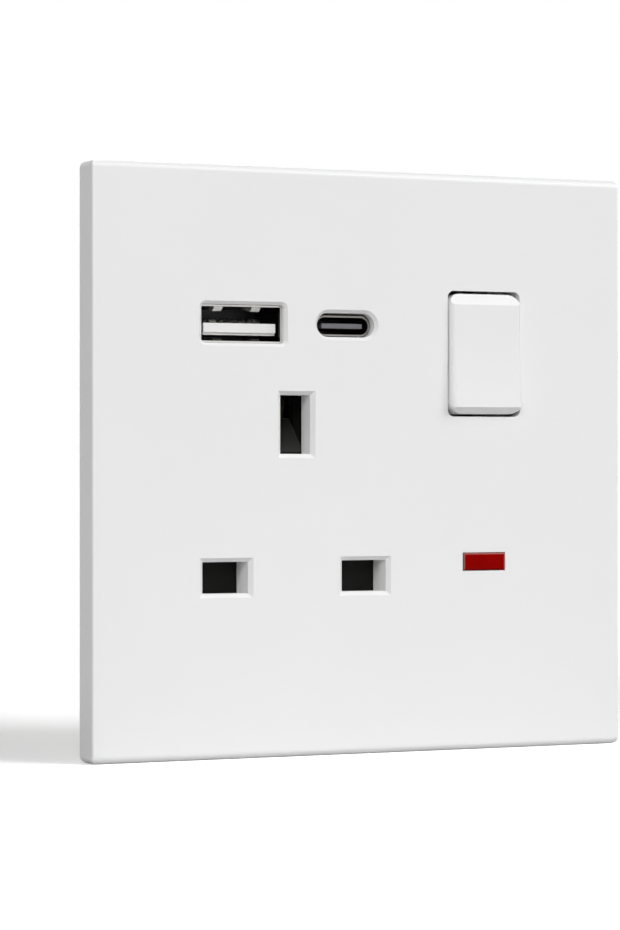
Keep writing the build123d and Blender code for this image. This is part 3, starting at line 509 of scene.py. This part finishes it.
# Coil spring: round wire on a helix whose end turns lie closer together
def makeSpringTree():
    tree, start, end = newGroup(
        "springSet",
        "GeometryNodeTree",
        [
            ("Points", shapeSocket, None),
            ("Radius", floatSocket, 0.001),
            ("Wire Radius", floatSocket, 0.0002),
            ("Height", floatSocket, 0.01),
            ("Turns", floatSocket, 6.0),
            ("End Closing", floatSocket, 0.5),
            ("Tilt", vectorSocket, (0.0, 0.0, 0.0)),
            ("Finish", finishSocket, None),
        ],
        [("Geometry", shapeSocket)],
    )
    size = start.outputs
    helix = addShape(
        tree, "GeometryNodeCurveSpiral", Resolution=springMesh["turnSteps"], Rotations=size["Turns"],
        Start_Radius=size["Radius"], End_Radius=size["Radius"], Height=size["Height"],
    )
    along = addNode(tree, "GeometryNodeSplineParameter").outputs["Factor"]
    eased = addNode(tree, "ShaderNodeMapRange", {"Value": along}, interpolation_type="SMOOTHSTEP")
    shift = calc(tree, "SUBTRACT", eased.outputs["Result"], along)
    lag = calc(tree, "MULTIPLY", shift, size["End Closing"])
    lift = addNode(tree, "ShaderNodeCombineXYZ", {"Z": calc(tree, "MULTIPLY", lag, size["Height"])})
    wound = addShape(tree, "GeometryNodeSetPosition", Geometry=helix, Offset=lift.outputs[0])
    section = addShape(
        tree, "GeometryNodeCurvePrimitiveCircle",
        Resolution=springMesh["wireSides"], Radius=size["Wire Radius"],
    )
    coil = addShape(tree, "GeometryNodeCurveToMesh", Curve=wound, Profile_Curve=section, Fill_Caps=True)
    closeTree(tree, start, end, coil, size["Tilt"])
    return tree


archMesh = {
    "steps": 20,
    "handleRise": 4 / 3,  # a curve with both handles at this height rises to 1
    "lap": 0.95,  # shares of the arch's length: where the flat strip ends, and both handles
    "rear": 0.55,
    "front": 0.2,
}


# Contact spring: a flat strip that lies on its carrier and rises to an arch near the tip
def makeContactTree():
    tree, start, end = newGroup(
        "contactSet",
        "GeometryNodeTree",
        [
            ("Points", shapeSocket, None),
            ("Width", floatSocket, 0.001),
            ("Thickness", floatSocket, 0.0002),
            ("Length", floatSocket, 0.006),
            ("Arch Length", floatSocket, 0.003),
            ("Arch Rise", floatSocket, 0.0006),
            ("Finish", finishSocket, None),
        ],
        [("Geometry", shapeSocket)],
    )
    size = start.outputs
    middle = calc(tree, "MULTIPLY", size["Thickness"], 0.5)
    crown = calc(tree, "MULTIPLY_ADD", size["Arch Rise"], archMesh["handleRise"], middle)

    def spot(along, high):
        return addNode(tree, "ShaderNodeCombineXYZ", {"Y": along, "Z": high}).outputs[0]

    foot = size["Arch Length"]
    lap = calc(tree, "MULTIPLY", foot, archMesh["lap"])
    arch = addShape(
        tree, "GeometryNodeCurvePrimitiveBezierSegment", Resolution=archMesh["steps"],
        Start=spot(foot, middle), Start_Handle=spot(calc(tree, "MULTIPLY", foot, archMesh["rear"]), crown),
        End=spot(0.0, middle), End_Handle=spot(calc(tree, "MULTIPLY", foot, archMesh["front"]), crown),
    )
    flat = addShape(
        tree, "GeometryNodeCurvePrimitiveLine", Start=spot(size["Length"], middle), End=spot(lap, middle)
    )
    section = addShape(
        tree, "GeometryNodeCurvePrimitiveQuadrilateral", Width=size["Width"], Height=size["Thickness"]
    )
    strips = []
    for line in (arch, flat):
        upright = addNode(tree, "GeometryNodeSetCurveNormal", {"Curve": line}, mode="Z_UP").outputs[0]
        strips.append(addShape(
            tree, "GeometryNodeCurveToMesh", Curve=upright, Profile_Curve=section, Fill_Caps=True
        ))
    closeTree(tree, start, end, combined(tree, "UNION", *strips), (0.0, 0.0, 0.0))
    return tree


screwTree = makeScrewTree()
springTree = makeSpringTree()
contactTree = makeContactTree()


# Runs a tree on points and keeps the result as a plain mesh
def growPiece(nodeName, pieceName, tree, points, sizes):
    seed = bpy.data.meshes.new(pieceName + "Points")
    seed.from_pydata([Vector(p) * mm for p in points], [], [])
    holder = bpy.data.objects.new(pieceName + "Points", seed)
    bpy.context.scene.collection.objects.link(holder)
    modifier = holder.modifiers.new(pieceName, "NODES")
    modifier.node_group = tree
    for socket in tree.interface.items_tree:
        if socket.in_out == "INPUT" and socket.name in sizes:
            modifier[socket.identifier] = sizes[socket.name]
    graph = bpy.context.evaluated_depsgraph_get()
    mesh = bpy.data.meshes.new_from_object(holder.evaluated_get(graph))
    holder.modifiers.remove(modifier)
    bpy.data.objects.remove(holder)
    shape = bmesh.new()
    shape.from_mesh(mesh)
    bmesh.ops.remove_doubles(shape, verts=shape.verts, dist=cleaning["weldGrown"] * mm)
    bmesh.ops.recalc_face_normals(shape, faces=shape.faces)
    softenShape(shape, cleaning["crispGrown"])
    shape.to_mesh(mesh)
    shape.free()
    mesh.name = pieceName
    return standFor(nodeName, pieceName, mesh)


# Cover plate
cover = {
    "colour": (0.93, 0.93, 0.93),
    "shade": 0.012,
    "flow": 30.0,
    "grain": 7000.0,
    "gloss": 0.34,
    "spread": 0.08,
    "relief": 0.003,
}
coverWhite = plasticMaterial("coverWhite", cover)
cleanCopy("cover_plate", "coverShell", coverWhite)

# Mounting frame, rear base and the deck inside
frameFinish = {
    "colour": (0.92, 0.92, 0.91),
    "shade": 0.05,
    "flow": 60.0,
    "grain": 5000.0,
    "gloss": 0.45,
    "spread": 0.12,
    "relief": 0.006,
}
baseFinish = {
    "colour": (0.82, 0.82, 0.81),
    "shade": 0.07,
    "flow": 45.0,
    "grain": 3200.0,
    "gloss": 0.5,
    "spread": 0.15,
    "relief": 0.014,
    "ease": 0.25,
    "easeBehind": 26.4,  # only edges of the rear face are eased
}
# The deck is near black, which keeps the slots dark inside: partly its moulding colour, partly painted shade
deckFinish = {
    "colour": (0.012, 0.012, 0.012),
    "shade": 0.3,
    "flow": 80.0,
    "grain": 4500.0,
    "gloss": 0.5,
    "spread": 0.15,
    "relief": 0.01,
    "specular": 0.2,
}


def onRearFace(edge):
    return all(v.co.y > baseFinish["easeBehind"] * mm for v in edge.verts)


frameWhite = plasticMaterial("frameWhite", frameFinish)
baseWhite = plasticMaterial("baseWhite", baseFinish)
deckDark = plasticMaterial("deckDark", deckFinish)
cleanCopy("mounting_frame", "wallFrame", frameWhite)
cleanCopy("rear_base", "rearBox", baseWhite, ease=baseFinish["ease"], easeOn=onRearFace)
carryOver(deckDark, "deck_dark", "contact_cover")
print("mouldings dressed")

# Shutter
shutterFinish = {
    "colour": (0.008, 0.008, 0.0075),
    "shade": 0.3,
    "flow": 120.0,
    "grain": 5000.0,
    "gloss": 0.5,
    "spread": 0.15,
    "relief": 0.006,
    "specular": 0.12,
    "rampLean": 0.2,  # the ramp's normal leans forward and up by more than this
}
# A lighter copy of the shutter black for the ramp: painted sheen
rampSheenFinish = dict(shutterFinish, colour=(0.05, 0.049, 0.046), specular=0.35)


# The ramp that the earth pin pushes down is painted lighter: a painted sheen on its faces that lean forward
# and up
def onRamp(middle, normal):
    return min(-normal.y, normal.z) > shutterFinish["rampLean"]


shutterBlack = plasticMaterial("shutterBlack", shutterFinish)
shutterRampSheen = plasticMaterial("shutterRampSheen", rampSheenFinish)
shutterPlate = cleanCopy("shutter", "shutterPlate", shutterBlack)
paintFaces(shutterPlate, shutterRampSheen, onRamp)

# Rocker
rockerFinish = {
    "colour": (0.935, 0.935, 0.935),
    "shade": 0.01,
    "flow": 60.0,
    "grain": 8000.0,
    "gloss": 0.28,
    "spread": 0.06,
    "relief": 0.002,
    "specular": 0.32,
    "crisp": 18,
    "ease": 0.18,
    "easeFront": -3.4,  # only edges in front of this depth are eased
}


def onRockerFace(edge):
    return all(v.co.y < rockerFinish["easeFront"] * mm for v in edge.verts)


rockerWhite = plasticMaterial("rockerWhite", rockerFinish)
cleanCopy(
    "rocker", "rockerCap", rockerWhite,
    crisp=rockerFinish["crisp"], ease=rockerFinish["ease"], easeOn=onRockerFace,
)
print("rocker dressed")

# Indicator
lensFinish = {
    "colour": (0.305, 0.0012, 0.0004),
    "shade": 0.15,
    "flow": 350.0,
    "grain": 4000.0,
    "gloss": 0.2,
    "spread": 0.08,
    "relief": 0.003,
    "specular": 0.02,
}
# A lighter red for the window's bevels: painted highlight
lensHighlightFinish = dict(lensFinish, colour=(0.42, 0.12, 0.11), specular=0.2)
lensBevel = {"flattest": -0.95, "steepest": -0.3, "lowest": -0.3}  # limits of a bevel's normal
lampFinish = {
    "colour": (0.75, 0.7, 0.64),
    "shade": 0.2,
    "flow": 300.0,
    "grain": 2000.0,
    "gloss": 0.06,
    "spread": 0.06,
    "relief": 0.004,
}
resistorFinish = {
    "colour": (0.5, 0.4, 0.26),
    "shade": 0.2,
    "flow": 500.0,
    "grain": 4000.0,
    "gloss": 0.4,
    "spread": 0.2,
    "relief": 0.01,
}


# The bevels at the top and the sides of the window get a lighter red as a painted highlight
def onLensBevel(middle, normal):
    leans = lensBevel["flattest"] < normal.y < lensBevel["steepest"]
    return leans and normal.z > lensBevel["lowest"]


lensRed = plasticMaterial("lensRed", lensFinish)
paintedLensHighlight = plasticMaterial("paintedLensHighlight", lensHighlightFinish)
lensCap = cleanCopy("neon_lens", "lensCap", lensRed)
paintFaces(lensCap, paintedLensHighlight, onLensBevel)
carryOver(plasticMaterial("lampGlass", lampFinish), "lamp_glass", "neon_lamp")
carryOver(plasticMaterial("resistorCoat", resistorFinish), "resistor_coat", "neon_resistor")

# Charging ports
wideMetal = {
    "colour": (0.62, 0.61, 0.585),
    "tarnish": (0.46, 0.45, 0.43),
    "share": 0.4,
    "stretch": (300.0, 5000.0, 5000.0),
    "patches": 500.0,
    "gloss": 0.25,
    "spread": 0.18,
    "relief": 0.002,
    # dark, darkFrom, darkTo: painted shade that blackens the shell's inside behind its mouth
    "dark": (0.012, 0.012, 0.012),
    "darkFrom": -3.8,
    "darkTo": -3.3,
}
# The narrow shell: a darker steel, with painted shade that darkens its inside behind the mouth
ovalMetal = dict(
    wideMetal, colour=(0.26, 0.25, 0.23), tarnish=(0.2, 0.19, 0.17),
    dark=(0.02, 0.019, 0.016), darkFrom=-3.35, darkTo=-2.4,
)
fingerMetal = {
    "colour": (0.95, 0.94, 0.92),
    "tarnish": (0.7, 0.69, 0.67),
    "share": 0.3,
    "stretch": (5000.0, 300.0, 5000.0),
    "patches": 700.0,
    "gloss": 0.45,
    "spread": 0.2,
    "relief": 0.002,
}
# A darker copy of the finger steel: painted shade for the fingers in the floor of the port
shadedMetal = dict(fingerMetal, colour=(0.22, 0.22, 0.21), tarnish=(0.15, 0.15, 0.14))
goldMetal = {
    "colour": (0.83, 0.62, 0.28),
    "tarnish": (0.5, 0.36, 0.16),
    "share": 0.3,
    "stretch": (5000.0, 300.0, 5000.0),
    "patches": 900.0,
    "gloss": 0.25,
    "spread": 0.15,
    "relief": 0.002,
    # dark, darkFrom, darkTo: painted shade on the contacts deep in the ports
    "dark": (0.05, 0.045, 0.038),
    "darkFrom": -2.6,
    "darkTo": -2.2,
}
tongueFinish = {
    "colour": (0.89, 0.89, 0.88),
    "shade": 0.06,
    "flow": 200.0,
    "grain": 5000.0,
    "gloss": 0.35,
    "spread": 0.1,
    "relief": 0.004,
    # dark, darkFrom, darkTo: painted shade that blackens the tongue's root deep in the port
    "dark": (0.01, 0.01, 0.01),
    "darkFrom": 3.0,
    "darkTo": 4.9,
}
wideLow, wideHigh = (Vector(p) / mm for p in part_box("usb_a_shell"))
wideMiddle = (wideLow + wideHigh) / 2
wideFinger = {
    "inRoof": 0.28,  # at least so far inside the shell's top or bottom
    "inSide": 1.5,
    "behindMouth": 0.5,
}
wideContact = {
    "offsets": (-3.5, -1.0, 1.0, 3.5),
    "width": 1.1,
    "thickness": 0.2,
    "archLength": 3.2,
    "archRise": 0.65,
}


# Spring fingers of the wide port: those in its roof keep a bright steel without the painted shade, those in
# its floor get a darker copy as painted shade
def onFinger(middle, normal):
    inRoof = (wideHigh.z - wideLow.z) / 2 - abs(middle.z - wideMiddle.z)
    inSide = (wideHigh.x - wideLow.x) / 2 - abs(middle.x - wideMiddle.x)
    behind = middle.y - wideLow.y
    sunk = inRoof > wideFinger["inRoof"] and inSide > wideFinger["inSide"]
    return sunk and behind > wideFinger["behindMouth"]


def onFloorFinger(middle, normal):
    return onFinger(middle, normal) and middle.z < wideMiddle.z


wideSteel = metalMaterial("wideSteel", wideMetal)
ovalSteel = metalMaterial("ovalSteel", ovalMetal)
wideShell = cleanCopy("usb_a_shell", "wideShell", wideSteel)
paintFaces(wideShell, metalMaterial("fingerSteel", fingerMetal), onFinger)
paintFaces(wideShell, metalMaterial("shadedSteel", shadedMetal), onFloorFinger)
cleanCopy("usb_c_shell", "ovalShell", ovalSteel)
tongueWhite = plasticMaterial("tongueWhite", tongueFinish)
# The narrow port's grey tongue takes the painted shade from nearer the mouth
tongueGrey = plasticMaterial("tongueGrey", dict(tongueFinish, colour=(0.145, 0.145, 0.16), darkFrom=-2.0))
carryOver(tongueWhite, "tongue_white", "usb_a_tongue", "rocker_plunger")
carryOver(tongueGrey, "tongue_grey", "usb_c_tongue")
stripLow, stripHigh = (Vector(p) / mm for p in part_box("usb_a_contacts"))
# The wide port's contacts lie wholly in the painted shade, whose colour is lifted to a mid grey
growPiece(
    "usb_a_contacts", "wideContacts", contactTree,
    [(wideMiddle.x + offset, stripLow.y, stripLow.z) for offset in wideContact["offsets"]],
    {
        "Width": wideContact["width"] * mm,
        "Thickness": wideContact["thickness"] * mm,
        "Length": (stripHigh.y - stripLow.y) * mm,
        "Arch Length": wideContact["archLength"] * mm,
        "Arch Rise": wideContact["archRise"] * mm,
        "Finish": metalMaterial("wideGold", dict(goldMetal, dark=(0.42, 0.41, 0.385))),
    },
)
carryOver(metalMaterial("ovalGold", goldMetal), "contact_gold", "usb_c_contacts")
print("ports dressed")

# Brass and steel inside and at the rear
brass = {
    "colour": (0.76, 0.57, 0.27),
    "tarnish": (0.42, 0.28, 0.12),
    "share": 0.55,
    "stretch": (350.0, 3500.0, 3500.0),
    "patches": 260.0,
    "gloss": 0.24,
    "spread": 0.22,
    "relief": 0.004,
}
zinc = {
    "colour": (0.62, 0.62, 0.6),
    "tarnish": (0.4, 0.38, 0.3),
    "share": 0.45,
    "stretch": (1800.0, 1800.0, 1800.0),
    "patches": 700.0,
    "gloss": 0.3,
    "spread": 0.2,
    "relief": 0.003,
}
# The contacts inside get a darker brass, and the earth contact a darker one still, as painted shade for the
# slots' dark insides; the brass keeps its own tarnish
slotShadeBrass = dict(brass, colour=(0.42, 0.31, 0.16), tarnish=(0.2, 0.135, 0.07))
slotShadeBronze = dict(brass, colour=(0.15, 0.115, 0.075), tarnish=(0.08, 0.06, 0.04))
contactBrass = metalMaterial("contactBrass", slotShadeBrass)
terminalBrass = metalMaterial("terminalBrass", dict(brass, stretch=(2600.0, 2600.0, 260.0), gloss=0.2))
earthShadeBronze = metalMaterial("earthShadeBronze", slotShadeBronze)
carryOver(contactBrass, "contact_brass", "neutral_contact", "live_contact", "line_bar", "contact_arm")
carryOver(earthShadeBronze, "contact_brass", "earth_contact")
for side in ("earth", "neutral", "live"):
    cleanCopy(side + "_terminal", side + "Block", terminalBrass)
screwSteel = metalMaterial("screwSteel", zinc)
springSteel = metalMaterial("springSteel", dict(zinc, colour=(0.56, 0.56, 0.58), gloss=0.2))

# Screws: slotted clamps in the terminals, cross heads that hold the case together
clampScrew = {
    "across": (-22.215, -11.1, 19.75),
    "seatY": 24.5,
    "high": -25.35,
    "Head Radius": 2.9,
    "Head Height": 1.6,
    "Head Bevel": 0.3,
    "Shank Radius": 1.7,
    "Shank Length": 2.5,
    "Point Length": 0.4,
    "Thread Pitch": 0.7,
    "Thread Height": 0.2,
    "Slot Length": 7.0,
    "Cross Length": 0.3,
    "Slot Width": 0.8,
    "Slot Depth": 0.7,
}
caseScrew = {
    "places": ((-25.3, 26.3), (25.3, 26.3), (10.625, -26.3)),
    "seatY": 12.0,
    "Head Radius": 1.9,
    "Head Height": 1.6,
    "Head Bevel": 0.35,
    "Shank Radius": 1.0,
    "Shank Length": 9.0,
    "Point Length": 1.8,
    "Thread Pitch": 0.8,
    "Thread Height": 0.22,
    "Slot Length": 2.2,
    "Cross Length": 2.2,
    "Slot Width": 0.55,
    "Slot Depth": 0.9,
}


# The tree's own inputs, which are the names that start with a capital
def screwSizes(screw):
    sizes = {name: value * mm for name, value in screw.items() if name[0].isupper()}
    sizes["Finish"] = screwSteel
    return sizes


growPiece(
    "terminal_screws", "clampScrews", screwTree,
    [(x, clampScrew["seatY"], clampScrew["high"]) for x in clampScrew["across"]],
    screwSizes(clampScrew),
)
growPiece(
    "case_screws", "caseScrews", screwTree,
    [(x, caseScrew["seatY"], z) for x, z in caseScrew["places"]],
    screwSizes(caseScrew),
)

# Springs: one returns the shutter, one loads the plunger in the rocker's stem
shutterCoil = {"wire": 0.2, "turns": 6.5, "travel": 5.4}
plungerCoil = {
    "wire": 0.2,
    "radius": 1.28,
    "turns": 4.5,
    "pivot": (19.75, -1.0, 16.2),
    "tilt": 2.5,
    "from": 2.65,  # both ends, measured from the pivot along the stem
    "to": 5.55,
}
springLow, springHigh = (Vector(p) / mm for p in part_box("shutter_spring"))
springMiddle = (springLow + springHigh) / 2
springHeight = springHigh.z - springLow.z
shutterSpring = growPiece(
    "shutter_spring", "shutterCoil", springTree,
    [(springMiddle.x, springMiddle.y, springLow.z + shutterCoil["wire"])],
    {
        "Radius": ((springHigh.x - springLow.x) / 2 - shutterCoil["wire"]) * mm,
        "Wire Radius": shutterCoil["wire"] * mm,
        "Height": (springHeight - 2 * shutterCoil["wire"]) * mm,
        "Turns": shutterCoil["turns"],
        "Finish": springSteel,
    },
)
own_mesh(shutterSpring)
plungerTilt = radians(plungerCoil["tilt"])
plungerAxis = Vector((0.0, cos(plungerTilt), -sin(plungerTilt)))
growPiece(
    "plunger_spring", "plungerCoil", springTree,
    [Vector(plungerCoil["pivot"]) + plungerAxis * plungerCoil["from"]],
    {
        "Radius": plungerCoil["radius"] * mm,
        "Wire Radius": plungerCoil["wire"] * mm,
        "Height": (plungerCoil["to"] - plungerCoil["from"]) * mm,
        "Turns": plungerCoil["turns"],
        "Tilt": (-pi / 2 - plungerTilt, 0.0, 0.0),
        "Finish": springSteel,
    },
)
print("screws and springs in place")

# Charger board
boardFinish = {
    "colour": (0.03, 0.19, 0.08),
    "shade": 0.35,
    "flow": 420.0,
    "grain": 2500.0,
    "gloss": 0.25,
    "spread": 0.2,
    "relief": 0.01,
}
ferriteFinish = dict(
    boardFinish, colour=(0.05, 0.05, 0.052), shade=0.25, gloss=0.5, grain=1800.0, relief=0.02
)
tapeFinish = dict(boardFinish, colour=(0.72, 0.56, 0.09), shade=0.12, gloss=0.3, flow=150.0)
sleeveFinish = dict(boardFinish, colour=(0.07, 0.07, 0.09), shade=0.2, gloss=0.28, flow=180.0)
sheathFinish = dict(boardFinish, colour=(0.34, 0.05, 0.03), shade=0.15, gloss=0.4, flow=300.0)
carryOver(plasticMaterial("boardGreen", boardFinish), "board_green", "usb_board")
carryOver(plasticMaterial("ferriteGrey", ferriteFinish), "ferrite", "transformer_core")
carryOver(plasticMaterial("coilTape", tapeFinish), "coil_tape", "transformer_coil")
capacitorSleeve = plasticMaterial("capacitorSleeve", sleeveFinish)
carryOver(capacitorSleeve, "capacitor_sleeve", "input_capacitor", "output_capacitor")
carryOver(plasticMaterial("leadSheath", sheathFinish), "lead_sheath", "board_leads")
print("charger board dressed")

# Studio: a broad lamp from the upper right, a weaker one from the front left, a spot behind,
# an even fill and a white floor that keeps the shadow
studio = {
    "lamps": (
        {"name": "mainLamp", "from": (0.42, -0.38, 0.38), "strength": 1.64, "spread": 40},
        {"name": "sideLamp", "from": (-0.52, -0.8, 0.42), "strength": 1.31, "spread": 30},
    ),
    "backLamp": {
        "name": "backLamp",
        "place": (0.2, 0.62, 0.3),
        "aim": (0.0, 0.012, 0.002),
        "power": 9.0,
        "cone": 7.4,
        "blend": 0.3,
        "radius": 0.06,
    },
    "fill": 0.15,
    "floorSeen": 1.65,
    "floorBounce": 0.5,
    "floorLift": 0.04,
    "floorSize": 8000,
    "floorZ": -43,
}


# 1 for what the camera sees straight on, in a reflection or through glass
def seenDirectly(tree):
    path = addNode(tree, "ShaderNodeLightPath").outputs
    sharp = calc(tree, "MAXIMUM", path["Is Camera Ray"], path["Is Glossy Ray"])
    return calc(tree, "MAXIMUM", sharp, path["Is Transmission Ray"])


def makeFill():
    world = bpy.data.worlds.new("studioFill")
    world.use_nodes = True
    tree = world.node_tree
    tree.nodes.clear()
    strength = addNode(tree, "ShaderNodeMapRange", {
        "Value": seenDirectly(tree), "To Min": studio["fill"], "To Max": 1.0,
    })
    sky = addNode(tree, "ShaderNodeBackground", {
        "Color": (1.0, 1.0, 1.0, 1.0), "Strength": strength.outputs["Result"],
    })
    output = addNode(tree, "ShaderNodeOutputWorld")
    tree.links.new(sky.outputs["Background"], output.inputs["Surface"])
    bpy.context.scene.world = world


def makeFloor():
    half = studio["floorSize"] / 2 * mm
    z = studio["floorZ"] * mm
    mesh = bpy.data.meshes.new("studioFloor")
    corners = [(-half, -half, z), (half, -half, z), (half, half, z), (-half, half, z)]
    mesh.from_pydata(corners, [], [(0, 1, 2, 3)])
    floor = bpy.data.objects.new("studioFloor", mesh)
    bpy.context.scene.collection.objects.link(floor)
    material = bpy.data.materials.new("floorWhite")
    material.use_nodes = True
    tree = material.node_tree
    tree.nodes.clear()
    seen = seenDirectly(tree)
    tone = addNode(tree, "ShaderNodeMapRange", {
        "Value": seen, "To Min": studio["floorBounce"], "To Max": studio["floorSeen"],
    })
    matt = addNode(tree, "ShaderNodeBsdfDiffuse", {"Color": tone.outputs["Result"]})
    glow = addNode(tree, "ShaderNodeEmission", {
        "Color": (1.0, 1.0, 1.0, 1.0), "Strength": calc(tree, "MULTIPLY", seen, studio["floorLift"]),
    })
    both = addNode(tree, "ShaderNodeAddShader")
    tree.links.new(matt.outputs["BSDF"], both.inputs[0])
    tree.links.new(glow.outputs["Emission"], both.inputs[1])
    output = addNode(tree, "ShaderNodeOutputMaterial")
    tree.links.new(both.outputs["Shader"], output.inputs["Surface"])
    mesh.materials.append(material)


def makeLamp(lamp):
    light = bpy.data.lights.new(lamp["name"], "SUN")
    light.energy = lamp["strength"]
    light.angle = radians(lamp["spread"])
    holder = bpy.data.objects.new(lamp["name"], light)
    holder.rotation_mode = "QUATERNION"
    holder.rotation_quaternion = Vector(lamp["from"]).to_track_quat("Z", "Y")
    bpy.context.scene.collection.objects.link(holder)


# A spot on the rear, with a cone about as wide as the plate
def makeSpot(lamp):
    light = bpy.data.lights.new(lamp["name"], "SPOT")
    light.energy = lamp["power"]
    light.spot_size = radians(lamp["cone"])
    light.spot_blend = lamp["blend"]
    light.shadow_soft_size = lamp["radius"]
    holder = bpy.data.objects.new(lamp["name"], light)
    holder.location = lamp["place"]
    holder.rotation_mode = "QUATERNION"
    holder.rotation_quaternion = (Vector(lamp["place"]) - Vector(lamp["aim"])).to_track_quat("Z", "Y")
    bpy.context.scene.collection.objects.link(holder)


# Camera: level, turned to the left of the plate's front
cameraView = {
    "turn": 24.82,
    "distance": 474.1,
    "aside": 8.16,
    "above": -0.43,
    "plateFront": -5.0,
    "lens": 124.57,
    "sensor": 36.0,
    "near": 10,
    "far": 20000,
}


def makeCamera():
    turn = radians(cameraView["turn"])
    ahead = Vector((sin(turn), cos(turn), 0.0))
    right = Vector((cos(turn), -sin(turn), 0.0))
    data = bpy.data.cameras.new("photoCamera")
    data.lens = cameraView["lens"]
    data.sensor_width = cameraView["sensor"]
    data.clip_start = cameraView["near"] * mm
    data.clip_end = cameraView["far"] * mm
    camera = bpy.data.objects.new("photoCamera", data)
    front = Vector((0.0, cameraView["plateFront"], cameraView["above"]))
    camera.location = (front - right * cameraView["aside"] - ahead * cameraView["distance"]) * mm
    camera.rotation_mode = "QUATERNION"
    camera.rotation_quaternion = ahead.to_track_quat("-Z", "Y")
    bpy.context.scene.collection.objects.link(camera)
    bpy.context.scene.camera = camera


makeFill()
makeFloor()
for lamp in studio["lamps"]:
    makeLamp(lamp)
makeSpot(studio["backLamp"])
makeCamera()
bpy.context.scene.view_settings.view_transform = "Standard"
print("studio ready")
